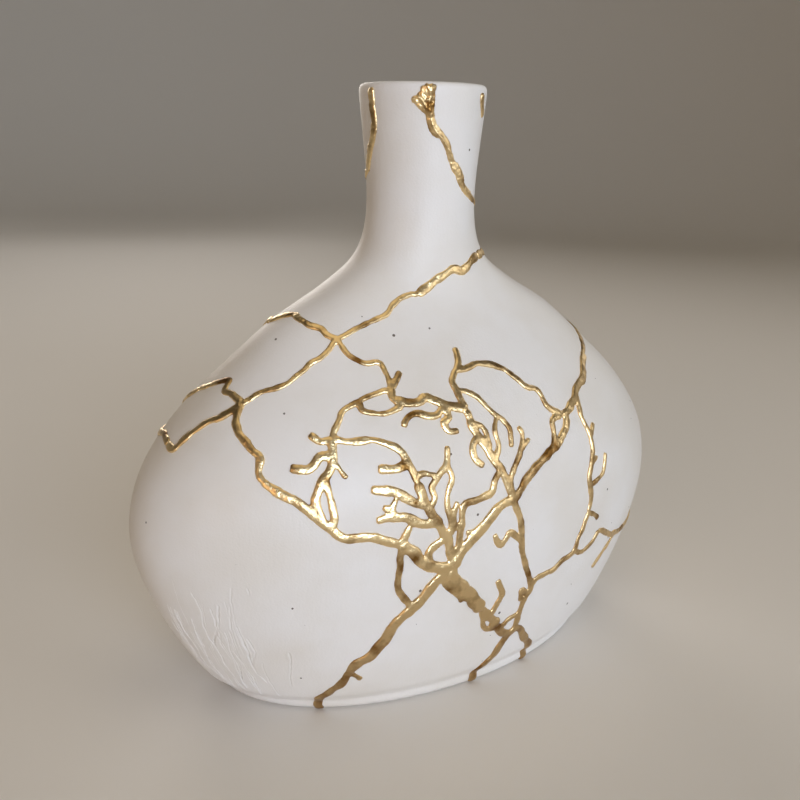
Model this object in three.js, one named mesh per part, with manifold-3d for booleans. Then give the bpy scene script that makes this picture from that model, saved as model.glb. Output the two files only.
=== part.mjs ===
// Oval kintsugi vase: one hollow white ceramic body, mended with raised gold seams.
// Millimetres, +Z up. The origin is the middle of the underside, -Y is the broad front face.
import * as THREE from 'three';
import { mergeVertices } from 'three/addons/utils/BufferGeometryUtils.js';
import Module from 'manifold-3d';

const wasm = await Module();
wasm.setup();

// Driving sizes of the body.
const HEIGHT = 220;
const WALL = 5;
const FLOOR = 6;
const FOOT_EDGE = 2.5;
const FOOT_INSET = 2;
const LIP_EDGE = 2.5;
const LIP_INSET = 2;
const SIDES = 40;

// Outer sections: height, half width, half depth.
const SECTIONS = [
  [0, 82.5, 46.8],
  [11, 93, 51.8],
  [26, 102, 56.5],
  [45, 110.5, 60],
  [66, 115.5, 61.5],
  [88, 110.5, 60],
  [109, 95, 51],
  [125, 76.5, 39.5],
  [138, 61, 28.5],
  [149, 41, 22.5],
  [160, 25.5, 20.6],
  [176, 20, 20],
  [198, 21.3, 21.3],
  [220, 23.5, 23.5],
];

// Smooth value through the sections at a height; column 1 is half width, column 2 half depth.
function through(column, height) {
  const last = SECTIONS.length - 1;
  const z = Math.min(Math.max(height, 0), HEIGHT);
  let i = 0;
  while (i < last - 1 && z > SECTIONS[i + 1][0]) i += 1;
  const slope = (k) => {
    const a = SECTIONS[Math.max(k - 1, 0)];
    const b = SECTIONS[Math.min(k + 1, last)];
    return (b[column] - a[column]) / (b[0] - a[0]);
  };
  const [z0, z1] = [SECTIONS[i][0], SECTIONS[i + 1][0]];
  const [v0, v1] = [SECTIONS[i][column], SECTIONS[i + 1][column]];
  const run = z1 - z0;
  const t = (z - z0) / run;
  const [t2, t3] = [t * t, t * t * t];
  return v0 * (2 * t3 - 3 * t2 + 1) + v1 * (3 * t2 - 2 * t3)
    + run * (slope(i) * (t3 - 2 * t2 + t) + slope(i + 1) * (t3 - t2));
}

// Rounded edge: how far a quarter-round of the given height and depth cuts back.
function roundedEdge(reach, height, depth) {
  const t = Math.min(Math.max(reach / height, 0), 1);
  return depth * (1 - Math.sqrt(1 - t * t));
}

// Outer half width and half depth at a height, with the foot and the lip rounded.
function section(z) {
  const cut = roundedEdge(FOOT_EDGE - z, FOOT_EDGE, FOOT_INSET)
    + roundedEdge(z - (HEIGHT - LIP_EDGE), LIP_EDGE, LIP_INSET);
  return { wide: through(1, z) - cut, deep: through(2, z) - cut };
}

// Heights at which the body's rings are set.
function ringHeights(from, to, count) {
  return Array.from({ length: count + 1 }, (_, k) => from + ((to - from) * k) / count);
}

// Closed solid of revolution from rings, then pressed to the oval of each ring's height.
function ovalSolid(rings) {
  const low = rings[0];
  const high = rings[rings.length - 1];
  const profile = [
    new THREE.Vector2(0, low.z),
    ...rings.map((r) => new THREE.Vector2(r.wide, r.z)),
    new THREE.Vector2(0, high.z),
  ];
  const geometry = new THREE.LatheGeometry(profile, SIDES);
  geometry.rotateX(Math.PI / 2);
  const at = geometry.attributes.position;
  for (let k = 0; k < at.count; k += 1) {
    const z = at.getZ(k);
    const ring = rings.reduce((a, b) => (Math.abs(b.z - z) < Math.abs(a.z - z) ? b : a));
    at.setY(k, (at.getY(k) * ring.deep) / ring.wide);
  }
  return solidOf(geometry);
}

// Boolean solid of a geometry: vertices merged, empty triangles dropped, facing out.
function solidOf(geometry) {
  geometry.deleteAttribute('normal');
  geometry.deleteAttribute('uv');
  const merged = mergeVertices(geometry, 1e-4);
  const index = merged.index.array;
  const at = merged.attributes.position;
  const tris = [];
  let volume = 0;
  const [a, b, c] = [new THREE.Vector3(), new THREE.Vector3(), new THREE.Vector3()];
  for (let k = 0; k < index.length; k += 3) {
    const [i, j, l] = [index[k], index[k + 1], index[k + 2]];
    if (i === j || j === l || l === i) continue;
    a.fromBufferAttribute(at, i);
    b.fromBufferAttribute(at, j);
    c.fromBufferAttribute(at, l);
    volume += a.dot(b.cross(c));
    tris.push(i, j, l);
  }
  if (volume < 0) tris.reverse();
  const mesh = new wasm.Mesh({
    numProp: 3,
    vertProperties: new Float32Array(at.array),
    triVerts: new Uint32Array(tris),
  });
  return new wasm.Manifold(mesh);
}

// Named mesh of a boolean solid.
function meshOf(name, solid, material) {
  const got = solid.getMesh();
  const geometry = new THREE.BufferGeometry();
  geometry.setAttribute('position', new THREE.BufferAttribute(new Float32Array(got.vertProperties), 3));
  geometry.setIndex(new THREE.BufferAttribute(new Uint32Array(got.triVerts), 1));
  geometry.computeVertexNormals();
  const mesh = new THREE.Mesh(geometry, material);
  mesh.name = name;
  return mesh;
}

// Body: the outside, less the hollow, which is open through the lip.
function vaseBody() {
  const outerHeights = [
    0, 0.7, FOOT_EDGE,
    ...ringHeights(9, 145, 17),
    ...ringHeights(149, 165, 4),
    ...ringHeights(172, HEIGHT - LIP_EDGE, 4),
    HEIGHT - 0.8, HEIGHT,
  ];
  const outer = ovalSolid(outerHeights.map((z) => ({ z, ...section(z) })));
  const hollow = (z) => {
    const floorRound = roundedEdge(FLOOR + 8 - z, 8, 12);
    const lipFlare = roundedEdge(z - (HEIGHT - LIP_EDGE), LIP_EDGE, LIP_INSET);
    return {
      z,
      wide: through(1, z) - WALL - floorRound + lipFlare,
      deep: through(2, z) - WALL - floorRound + lipFlare,
    };
  };
  const innerHeights = [
    FLOOR, 8, 14,
    ...ringHeights(26, 146, 10),
    ...ringHeights(154, HEIGHT - LIP_EDGE, 5),
    HEIGHT - 0.8, HEIGHT,
  ];
  const rings = innerHeights.map(hollow);
  rings.push({ ...rings[rings.length - 1], z: HEIGHT + 4 });
  return outer.subtract(ovalSolid(rings));
}

// Gold beads: width and height of the three kinds, and the air between bead and wall.
const FINE = { wide: 2.1, tall: 0.9 };
const MAIN = { wide: 3.1, tall: 1.2 };
const BROAD = { wide: 5, tall: 1.6 };
const GAP = 0.4;
const STEP = 8.5;
const STEP_TO_DEPTH = 0.18;

// Seam routes: degrees round from the middle of the front, to the right, and height.
const NECK = [
  [BROAD, [[-29, 216], [-30, 212], [-26, 208]]],
  [MAIN, [[-26, 208], [-11, 200], [12, 184], [40, 180]]],
  [MAIN, [[40, 180], [75, 177], [110, 178], [147, 183], [184, 185], [220, 186], [256, 190]]],
  [MAIN, [[-82, 216], [-84, 208], [-82, 204], [-104, 190]]],
];
const NECK_TICK = [
  [FINE, [[30, 216], [38, 209]]],
];
const SHOULDER = [
  [MAIN, [[34, 160], [21, 158], [13, 156], [-3, 155], [-20, 148], [-30, 146], [-32, 142], [-46.5, 135]]],
  [MAIN, [[-46.5, 135], [-56, 138], [-70, 140], [-84, 141], [-101, 138]]],
  [FINE, [[-46.5, 135], [-49.5, 130], [-55.5, 124], [-68, 116]]],
  [FINE, [[-46.5, 135], [-39.5, 130], [-29.5, 127], [-26, 120]]],
  [FINE, [[-26, 120], [-24, 125]]],
];
const LEFT = [
  [FINE, [[-68, 116], [-76, 118], [-82.5, 121], [-99, 116]]],
  [FINE, [[-68, 116], [-76, 110], [-83, 100], [-88, 101]]],
  [MAIN, [[-68, 116], [-63.5, 109], [-54, 102], [-52, 96], [-41.5, 88], [-37, 82], [-32.5, 76], [-22, 72]]],
  [MAIN, [[-26, 120], [-36.5, 116], [-38.5, 107]]],
  [FINE, [[-34, 117], [-32, 114], [-23, 115]]],
  [FINE, [[-38.5, 107], [-44, 108]]],
  [MAIN, [[-38.5, 107], [-37, 100], [-39, 90], [-37, 82]]],
  [FINE, [[-37.5, 97], [-36, 90], [-35, 79]]],
  [FINE, [[-37, 101], [-33.5, 95]]],
  [MAIN, [[-37.5, 102], [-40, 102], [-42, 98], [-46, 99]]],
];
const CENTRE = [
  [MAIN, [[-38.5, 107], [-29, 106], [-23, 102], [-20, 95], [-18, 86], [-12.5, 70], [-12, 60]]],
  [FINE, [[-21, 98], [-27.5, 98]]],
  [MAIN, [[-17.5, 84], [-24, 90], [-28.5, 92]]],
  [FINE, [[-15, 78], [-18, 78], [-22, 82], [-27, 82]]],
  [FINE, [[-24, 82], [-23.5, 88]]],
  [FINE, [[-17, 83], [-16, 90], [-13.5, 96], [-13, 102]]],
  [FINE, [[-20, 94], [-15.5, 93]]],
  [FINE, [[-13.5, 96], [-12.5, 92], [-13.5, 86], [-12.5, 72]]],
  [MAIN, [[-22, 72], [-18, 64], [-12, 60]]],
  [FINE, [[-22, 72], [-20.5, 78]]],
  [FINE, [[-16.5, 63], [-16.5, 68], [-13.5, 72]]],
  [FINE, [[-22, 72], [-22.5, 58], [-20, 47]]],
];
const UPPER_RIGHT = [
  [MAIN, [[-26, 120], [-22, 116], [-17.5, 117], [-7.5, 112]]],
  [FINE, [[-13, 114], [-15, 111], [-20, 112], [-22.5, 109]]],
  [FINE, [[-13, 114], [-12.5, 109], [-13, 106], [-10, 106]]],
  [MAIN, [[-6, 130], [-7, 126], [-9.5, 121], [-7, 108], [0, 85], [2.5, 70], [3, 60], [7, 42], [5.5, 31], [4, 22]]],
  [FINE, [[-8, 124], [0, 124.5], [7, 122], [11, 116], [14, 114], [18.5, 104]]],
  [FINE, [[18.5, 104], [28.5, 111], [34, 113], [47, 120]]],
  [FINE, [[17.5, 104], [14.5, 102], [10.5, 93]]],
  [MAIN, [[18.5, 104], [14.5, 96], [5, 88], [0.5, 80]]],
  [FINE, [[-9, 118], [-4.5, 116], [2, 104], [1.5, 98]]],
  [FINE, [[-7, 108], [-4, 105], [-3.5, 97]]],
  [FINE, [[-0.5, 108], [-1.5, 101], [-3, 94]]],
  [FINE, [[4.5, 104], [4.5, 99], [0.5, 86]]],
];
const RIGHT = [
  [FINE, [[26.5, 109], [24.5, 102], [24, 90], [22, 77], [21.5, 65], [18.5, 51], [13, 46], [7, 42]]],
  [FINE, [[28.5, 86], [26, 79], [22, 76]]],
  [FINE, [[21.5, 65], [26, 60]]],
  [FINE, [[18.5, 51], [23, 48], [27, 54], [34.5, 48], [42, 45]]],
  [FINE, [[38, 46], [30, 36]]],
];
const LOWER = [
  [MAIN, [[0.5, 80], [-3.5, 78], [-9.5, 67], [-12, 60], [-23, 42], [-28, 31], [-34.5, 22], [-37, 16], [-46, 4]]],
  [FINE, [[-34.5, 22], [-32, 17]]],
  [FINE, [[-2, 92], [-4.5, 84], [-10, 82], [-12, 61]]],
  [FINE, [[3, 63], [0, 68], [-2, 64], [-3.5, 69]]],
  [BROAD, [[-12, 60], [-11.5, 55], [-7.5, 44], [-3.5, 36], [4, 22]]],
  [FINE, [[-2, 50], [-0.5, 44], [-3, 34]]],
  [FINE, [[1, 26], [5.5, 31]]],
  [MAIN, [[4, 22], [1, 12], [-2, 4]]],
  [MAIN, [[4, 22], [7.5, 22], [14, 11], [16, 5]]],
];
const BACK = [
  [MAIN, [[34, 160], [60, 160], [80, 158], [104, 153], [130, 146], [152, 134], [164, 119], [172, 104]]],
  [FINE, [[47, 120], [70, 126], [98, 128], [126, 122], [150, 112], [172, 104]]],
  [MAIN, [[259, 138], [246, 137], [231, 130], [214, 121], [195, 112], [172, 104]]],
  [FINE, [[261, 116], [251, 111], [242, 106], [236, 98]]],
  [FINE, [[272, 101], [263, 102], [250, 99], [236, 98]]],
  [MAIN, [[236, 98], [220, 88], [203, 80], [184, 76]]],
  [MAIN, [[172, 104], [178, 90], [184, 76]]],
  [FINE, [[42, 45], [60, 44], [85, 49], [115, 54], [145, 62], [165, 70], [184, 76]]],
  [MAIN, [[184, 76], [190, 61], [195, 45], [192, 28], [200, 13], [202, 4]]],
  [FINE, [[115, 54], [121, 45], [119, 36]]],
  [FINE, [[220, 88], [212, 97]]],
];

// Point on the wall and the outward direction there.
function wallPoint(turn, height) {
  const angle = THREE.MathUtils.degToRad(turn);
  const [s, c] = [Math.sin(angle), Math.cos(angle)];
  const here = section(height);
  const up = section(height + 0.5);
  const down = section(height - 0.5);
  const around = new THREE.Vector3(here.wide * c, here.deep * s, 0);
  const rise = new THREE.Vector3((up.wide - down.wide) * s, -(up.deep - down.deep) * c, 1);
  return {
    at: new THREE.Vector3(here.wide * s, -here.deep * c, height),
    out: around.cross(rise).normalize(),
  };
}

// One bead: a half-round section carried along its route on the wall, narrower at its tips.
function bead(kind, route) {
  const curve = new THREE.CatmullRomCurve3(route.map(([turn, z]) => new THREE.Vector3(turn, z, 0)));
  const rough = curve.getPoints(route.length * 4).map((p) => wallPoint(p.x, p.y).at);
  const length = rough.reduce((sum, p, k) => (k ? sum + p.distanceTo(rough[k - 1]) : 0), 0);
  const slimmest = Math.min(...route.map(([, z]) => section(z).deep));
  const step = Math.min(STEP, slimmest * STEP_TO_DEPTH);
  const count = Math.max(Math.ceil(length / step), route.length - 1);
  const spots = curve.getPoints(count).map((p) => wallPoint(p.x, p.y));
  const half = [[-0.5, 0], [-0.3, 0.95], [0.3, 0.95], [0.5, 0]];
  const places = [];
  spots.forEach((spot, k) => {
    const ahead = spots[Math.min(k + 1, count)].at;
    const along = ahead.clone().sub(spots[Math.max(k - 1, 0)].at).normalize();
    const side = along.clone().cross(spot.out).normalize();
    const size = k === 0 || k === count ? 0.7 : 1;
    half.forEach(([across, rise]) => {
      const p = spot.at.clone();
      p.addScaledVector(side, across * kind.wide * size);
      p.addScaledVector(spot.out, GAP + rise * kind.tall * size);
      places.push(p.x, p.y, p.z);
    });
  });
  const n = half.length;
  const tris = [];
  for (let k = 0; k < count; k += 1) {
    for (let j = 0; j < n; j += 1) {
      const next = (j + 1) % n;
      const [a, b, c, d] = [k * n + j, k * n + next, (k + 1) * n + j, (k + 1) * n + next];
      tris.push(a, b, c, b, d, c);
    }
  }
  for (let j = 1; j < n - 1; j += 1) {
    const end = count * n;
    tris.push(0, j + 1, j, end, end + j, end + j + 1);
  }
  const geometry = new THREE.BufferGeometry();
  geometry.setAttribute('position', new THREE.BufferAttribute(new Float32Array(places), 3));
  geometry.setIndex(tris);
  return solidOf(geometry);
}

// Beads that meet, joined into one network.
function network(seams) {
  const beads = seams.map(([kind, route]) => bead(kind, route));
  return beads.reduce((whole, next) => whole.add(next));
}

const ceramic = new THREE.MeshStandardMaterial({ color: 0xe6e2db, roughness: 0.55, metalness: 0 });
ceramic.name = 'white_ceramic';
const gold = new THREE.MeshStandardMaterial({ color: 0xc9a24a, roughness: 0.3, metalness: 1 });
gold.name = 'gold_lacquer';

const vase = new THREE.Group();
vase.name = 'kintsugi_vase';
vase.add(meshOf('vase_body', vaseBody(), ceramic));
const wallSeams = [SHOULDER, LEFT, CENTRE, UPPER_RIGHT, RIGHT, LOWER, BACK].flat();
vase.add(meshOf('gold_wall_seams', network(wallSeams), gold));
vase.add(meshOf('gold_neck_seams', network(NECK), gold));
vase.add(meshOf('gold_neck_tick', network(NECK_TICK), gold));

export default vase;
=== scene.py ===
"""Kintsugi vase: an oval white ceramic bottle mended with raised gold seams."""

import logging
import math
from dataclasses import dataclass
from enum import Enum
from typing import Any

import bpy
import numpy as np
from mathutils import Matrix, Vector, noise


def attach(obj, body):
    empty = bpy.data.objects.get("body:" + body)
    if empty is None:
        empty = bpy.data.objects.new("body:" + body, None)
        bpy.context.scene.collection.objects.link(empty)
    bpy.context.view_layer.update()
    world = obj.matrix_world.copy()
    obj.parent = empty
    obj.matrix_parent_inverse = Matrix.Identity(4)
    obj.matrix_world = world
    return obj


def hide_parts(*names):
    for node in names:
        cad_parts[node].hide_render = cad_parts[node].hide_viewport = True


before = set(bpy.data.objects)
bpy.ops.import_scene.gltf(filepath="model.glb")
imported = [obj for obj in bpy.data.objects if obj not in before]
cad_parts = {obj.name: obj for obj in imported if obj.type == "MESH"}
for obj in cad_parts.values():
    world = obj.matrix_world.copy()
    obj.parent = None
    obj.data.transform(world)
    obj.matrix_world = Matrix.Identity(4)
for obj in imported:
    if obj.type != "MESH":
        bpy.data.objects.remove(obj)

LOG = logging.getLogger("kintsugi_vase")
MM = 0.001
Route = tuple[tuple[float, float], ...]


def linear(hex_colour: str) -> tuple[float, float, float, float]:
    """Turns an sRGB hex colour into linear light.

    Args:
        hex_colour: six hex digits, such as "E6E2DC".

    Returns:
        Linear red, green, blue and full alpha.
    """
    parts = [int(hex_colour[k:k + 2], 16) / 255 for k in (0, 2, 4)]
    light = [c / 12.92 if c <= 0.04045 else ((c + 0.055) / 1.055) ** 2.4 for c in parts]
    return (light[0], light[1], light[2], 1.0)


def per_mm(size_mm: float) -> float:
    """Gives a texture scale that repeats about once in a size in millimetres."""
    return 1 / (size_mm * MM)


def add_node(
    tree: bpy.types.NodeTree,
    kind: str,
    settings: dict[str, Any] | None = None,
    inputs: dict[str | int, Any] | None = None,
) -> bpy.types.Node:
    """Adds one shader node, sets it and links its inputs.

    Args:
        tree: the material's or world's node tree.
        kind: the node's type name.
        settings: attributes to set on the node.
        inputs: values for its sockets, or sockets to link into them.

    Returns:
        The new node.
    """
    node = tree.nodes.new(kind)
    for name, value in (settings or {}).items():
        setattr(node, name, value)
    for name, value in (inputs or {}).items():
        if isinstance(value, bpy.types.NodeSocket):
            tree.links.new(value, node.inputs[name])
        else:
            node.inputs[name].default_value = value
    return node


def colour_ramp(node: bpy.types.Node, stops: tuple[tuple[float, str], ...]) -> None:
    """Sets the stops of a colour ramp node.

    Args:
        node: the ramp.
        stops: place from 0 to 1 and sRGB hex colour of each stop.
    """
    band = node.color_ramp.elements
    while len(band) < len(stops):
        band.new(0.5)
    for element, (place, colour) in zip(band, stops):
        element.position = place
        element.color = linear(colour)


def select_only(piece: bpy.types.Object) -> None:
    """Makes one object the only selected and active one."""
    bpy.ops.object.select_all(action="DESELECT")
    piece.select_set(True)
    bpy.context.view_layer.objects.active = piece


def finish_with(piece: bpy.types.Object, kind: str, **settings: Any) -> None:
    """Adds a modifier to a piece and applies it.

    Args:
        piece: the object to change.
        kind: the modifier's type.
        **settings: attributes of the modifier.
    """
    select_only(piece)
    bpy.ops.object.modifier_add(type=kind)
    modifier = piece.modifiers[-1]
    for name, value in settings.items():
        setattr(modifier, name, value)
    bpy.ops.object.modifier_apply(modifier=modifier.name)


@dataclass(frozen=True)
class WhiteCeramic:
    """Matt white slip, brushed on in thin coats: chalky, faintly streaked and pinholed, with painted
    shade darkening the pinholes.
    """

    name: str = "brushed_white_slip_ceramic"
    white: str = "E9E6E3"
    warm_white: str = "E3DED7"
    # Painted shade: the dark grey that is put into the pinholes.
    pinhole_shade: str = "6E665E"
    roughness: float = 0.42
    ior: float = 1.48
    cloud_mm: float = 38.0
    streak_wide_mm: float = 1.7
    streak_long_mm: float = 11.0
    # Real grit is finer; it is drawn at this size so that it shows.
    grit_mm: float = 0.7
    pit_spacing_mm: float = 7.0
    pit_rarity: float = 0.45
    pit_width: float = 0.085

    def make(self) -> bpy.types.Material:
        """Builds the slip's node tree.

        Returns:
            The material.
        """
        material = bpy.data.materials.new(self.name)
        material.use_nodes = True
        tree = material.node_tree
        shader = tree.nodes["Principled BSDF"]
        place = add_node(tree, "ShaderNodeTexCoord").outputs["Object"]
        clouds = add_node(
            tree,
            "ShaderNodeTexNoise",
            {},
            {"Vector": place, "Scale": per_mm(self.cloud_mm), "Detail": 4.0},
        )
        tint = add_node(tree, "ShaderNodeValToRGB", {}, {"Fac": clouds.outputs["Fac"]})
        colour_ramp(tint, ((0.38, self.warm_white), (0.62, self.white)))
        pits = self._pits(tree, place)
        # Painted shade: the pinholes take a dark grey here.
        colour = add_node(
            tree,
            "ShaderNodeMix",
            {"data_type": "RGBA"},
            {"Factor": pits, 6: tint.outputs["Color"], 7: linear(self.pinhole_shade)},
        )
        tree.links.new(colour.outputs[2], shader.inputs["Base Color"])
        relief = self._relief(tree, place, pits)
        tree.links.new(relief, shader.inputs["Normal"])
        rough = add_node(
            tree,
            "ShaderNodeMapRange",
            {},
            {
                "Value": clouds.outputs["Fac"],
                "To Min": self.roughness - 0.05,
                "To Max": self.roughness + 0.07,
            },
        )
        tree.links.new(rough.outputs["Result"], shader.inputs["Roughness"])
        shader.inputs["IOR"].default_value = self.ior
        return material

    def _pits(self, tree: bpy.types.NodeTree, place: bpy.types.NodeSocket) -> bpy.types.NodeSocket:
        """Scatters pinholes, some cells with one and most without.

        Args:
            tree: the material's node tree.
            place: the object coordinates.

        Returns:
            A socket that is 1 inside a pinhole and 0 outside.
        """
        cells = add_node(
            tree, "ShaderNodeTexVoronoi", {}, {"Vector": place, "Scale": per_mm(self.pit_spacing_mm)}
        )
        chance = add_node(tree, "ShaderNodeSeparateColor", {}, {"Color": cells.outputs["Color"]})
        width = add_node(
            tree,
            "ShaderNodeMapRange",
            {},
            {
                "Value": chance.outputs["Red"],
                "From Min": self.pit_rarity,
                "From Max": 1.0,
                "To Min": 0.0,
                "To Max": self.pit_width,
            },
        )
        inside = add_node(
            tree,
            "ShaderNodeMath",
            {"operation": "LESS_THAN"},
            {0: cells.outputs["Distance"], 1: width.outputs["Result"]},
        )
        return inside.outputs["Value"]

    def _relief(
        self, tree: bpy.types.NodeTree, place: bpy.types.NodeSocket, pits: bpy.types.NodeSocket
    ) -> bpy.types.NodeSocket:
        """Adds up brush streaks, grit and pinholes as bump.

        Args:
            tree: the material's node tree.
            place: the object coordinates.
            pits: the pinhole mask.

        Returns:
            The bumped normal.
        """
        wide, long = per_mm(self.streak_wide_mm), per_mm(self.streak_long_mm)
        drawn = add_node(tree, "ShaderNodeMapping", {}, {"Vector": place, "Scale": (wide, wide, long)})
        streaks = add_node(
            tree,
            "ShaderNodeTexNoise",
            {},
            {"Vector": drawn.outputs["Vector"], "Scale": 1.0, "Detail": 2.0},
        )
        grit = add_node(
            tree,
            "ShaderNodeTexNoise",
            {},
            {"Vector": place, "Scale": per_mm(self.grit_mm), "Detail": 2.0},
        )
        first = add_node(
            tree,
            "ShaderNodeBump",
            {},
            {"Height": streaks.outputs["Fac"], "Strength": 0.2, "Distance": 0.25 * MM},
        )
        second = add_node(
            tree,
            "ShaderNodeBump",
            {},
            {
                "Height": grit.outputs["Fac"],
                "Strength": 0.5,
                "Distance": 0.14 * MM,
                "Normal": first.outputs["Normal"],
            },
        )
        third = add_node(
            tree,
            "ShaderNodeBump",
            {"invert": True},
            {"Height": pits, "Strength": 0.6, "Distance": 0.3 * MM, "Normal": second.outputs["Normal"]},
        )
        return third.outputs["Normal"]


@dataclass(frozen=True)
class GoldLacquer:
    """Gold powder on wet lacquer: bright metal, browner where thin, and darkened towards the foot with
    painted shade.
    """

    name: str = "gold_powder_lacquer"
    thin_gold: str = "8A6636"
    full_gold: str = "FBE0AC"
    # Painted shade: a darker gold is mixed in towards the foot. It is at most this share at the bottom
    # and fades out between these heights in millimetres.
    painted_shade_gold: str = "8C6535"
    painted_shade_mm: tuple[float, float] = (15.0, 70.0)
    painted_shade_share: float = 0.6
    roughness: float = 0.29
    patch_mm: float = 9.0
    # Real brush marks are finer; they are drawn at this size so that they show.
    brush_mm: float = 0.9

    def make(self) -> bpy.types.Material:
        """Builds the gold's node tree.

        Returns:
            The material.
        """
        material = bpy.data.materials.new(self.name)
        material.use_nodes = True
        tree = material.node_tree
        shader = tree.nodes["Principled BSDF"]
        place = add_node(tree, "ShaderNodeTexCoord").outputs["Object"]
        patches = add_node(
            tree,
            "ShaderNodeTexNoise",
            {},
            {"Vector": place, "Scale": per_mm(self.patch_mm), "Detail": 4.0},
        )
        tint = add_node(tree, "ShaderNodeValToRGB", {}, {"Fac": patches.outputs["Fac"]})
        colour_ramp(tint, ((0.33, self.thin_gold), (0.53, self.full_gold)))
        parts = add_node(tree, "ShaderNodeSeparateXYZ", {}, {"Vector": place})
        # Painted shade: this factor darkens the gold towards the foot.
        low = add_node(
            tree,
            "ShaderNodeMapRange",
            {},
            {
                "Value": parts.outputs["Z"],
                "From Min": self.painted_shade_mm[0] * MM,
                "From Max": self.painted_shade_mm[1] * MM,
                "To Min": self.painted_shade_share,
                "To Max": 0.0,
            },
        )
        colour = add_node(
            tree,
            "ShaderNodeMix",
            {"data_type": "RGBA"},
            {"Factor": low.outputs["Result"], 6: tint.outputs["Color"], 7: linear(self.painted_shade_gold)},
        )
        tree.links.new(colour.outputs[2], shader.inputs["Base Color"])
        brushed = add_node(
            tree,
            "ShaderNodeTexNoise",
            {},
            {"Vector": place, "Scale": per_mm(self.brush_mm), "Detail": 3.0},
        )
        bump = add_node(
            tree,
            "ShaderNodeBump",
            {},
            {"Height": brushed.outputs["Fac"], "Strength": 0.5, "Distance": 0.3 * MM},
        )
        tree.links.new(bump.outputs["Normal"], shader.inputs["Normal"])
        rough = add_node(
            tree,
            "ShaderNodeMapRange",
            {},
            {
                "Value": patches.outputs["Fac"],
                "To Min": self.roughness + 0.12,
                "To Max": self.roughness - 0.08,
            },
        )
        tree.links.new(rough.outputs["Result"], shader.inputs["Roughness"])
        shader.inputs["Metallic"].default_value = 1.0
        return material


@dataclass(frozen=True)
class PaleFloor:
    """Pale matt board that the vase stands on."""

    name: str = "pale_matt_board"
    colour: str = "EAE6E0"

    def make(self) -> bpy.types.Material:
        """Builds the board's plain material and returns it."""
        material = bpy.data.materials.new(self.name)
        material.use_nodes = True
        shader = material.node_tree.nodes["Principled BSDF"]
        shader.inputs["Base Color"].default_value = linear(self.colour)
        shader.inputs["Roughness"].default_value = 0.8
        return material


@dataclass(frozen=True)
class Wall:
    """The vase's outline in millimetres: height, half width and half depth of its sections."""

    height: float = 220.0
    thickness: float = 5.0
    floor: float = 6.0
    foot_edge: float = 2.5
    foot_inset: float = 2.0
    lip_edge: float = 2.5
    lip_inset: float = 2.0
    groove_depth: float = 1.4
    groove_height: float = 5.4
    groove_width: float = 2.2
    sections: tuple[tuple[float, float, float], ...] = (
        (0.0, 82.5, 46.8),
        (11.0, 93.0, 51.8),
        (26.0, 102.0, 56.5),
        (45.0, 110.5, 60.0),
        (66.0, 115.5, 61.5),
        (88.0, 110.5, 60.0),
        (109.0, 95.0, 51.0),
        (125.0, 76.5, 39.5),
        (138.0, 61.0, 28.5),
        (149.0, 41.0, 22.5),
        (160.0, 25.5, 20.6),
        (176.0, 20.0, 20.0),
        (198.0, 21.3, 21.3),
        (220.0, 23.5, 23.5),
    )

    def through(self, column: int, height: float) -> float:
        """Gives the smooth value through the sections at a height.

        Args:
            column: 1 for half width, 2 for half depth.
            height: millimetres above the foot.

        Returns:
            The half width or half depth, in millimetres.
        """
        rows = self.sections
        last = len(rows) - 1
        z = min(max(height, 0.0), self.height)
        i = 0
        while i < last - 1 and z > rows[i + 1][0]:
            i += 1

        def slope(k: int) -> float:
            """Gives the outline's slope at a section."""
            a, b = rows[max(k - 1, 0)], rows[min(k + 1, last)]
            return (b[column] - a[column]) / (b[0] - a[0])

        run = rows[i + 1][0] - rows[i][0]
        t = (z - rows[i][0]) / run
        t2, t3 = t * t, t * t * t
        ends = rows[i][column] * (2 * t3 - 3 * t2 + 1) + rows[i + 1][column] * (3 * t2 - 2 * t3)
        return ends + run * (slope(i) * (t3 - 2 * t2 + t) + slope(i + 1) * (t3 - t2))

    def cut_back(self, height: float) -> float:
        """Gives how far the foot, its groove and the lip cut back at a height, in millimetres."""
        off_groove = (height - self.groove_height) / self.groove_width
        groove = self.groove_depth * math.exp(-(off_groove ** 2))
        low = min(max((self.foot_edge - height) / self.foot_edge, 0.0), 1.0)
        high = min(max((height - self.height + self.lip_edge) / self.lip_edge, 0.0), 1.0)
        foot = self.foot_inset * (1 - math.sqrt(1 - low * low))
        return groove + foot + self.lip_inset * (1 - math.sqrt(1 - high * high))

    def half_sizes(self, height: float, inset: float = 0.0) -> tuple[float, float]:
        """Gives the half width and half depth at a height, less an inset."""
        return self.through(1, height) - inset, self.through(2, height) - inset

    def spot(self, turn: float, height: float) -> tuple[Vector, Vector]:
        """Finds a point on the outside of the wall.

        Args:
            turn: degrees round from the middle of the front, to the right.
            height: millimetres above the foot.

        Returns:
            The point in metres and the outward direction.
        """
        s, c = math.sin(math.radians(turn)), math.cos(math.radians(turn))
        low, high = max(height - 0.3, 0.0), min(height + 0.3, self.height)
        wide, deep = self.half_sizes(height, self.cut_back(height))
        wide_low, deep_low = self.half_sizes(low, self.cut_back(low))
        wide_high, deep_high = self.half_sizes(high, self.cut_back(high))
        around = Vector((wide * c, deep * s, 0.0))
        rise = Vector(((wide_high - wide_low) * s, -(deep_high - deep_low) * c, high - low))
        return Vector((wide * s, -deep * c, height)) * MM, around.cross(rise).normalized()


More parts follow.
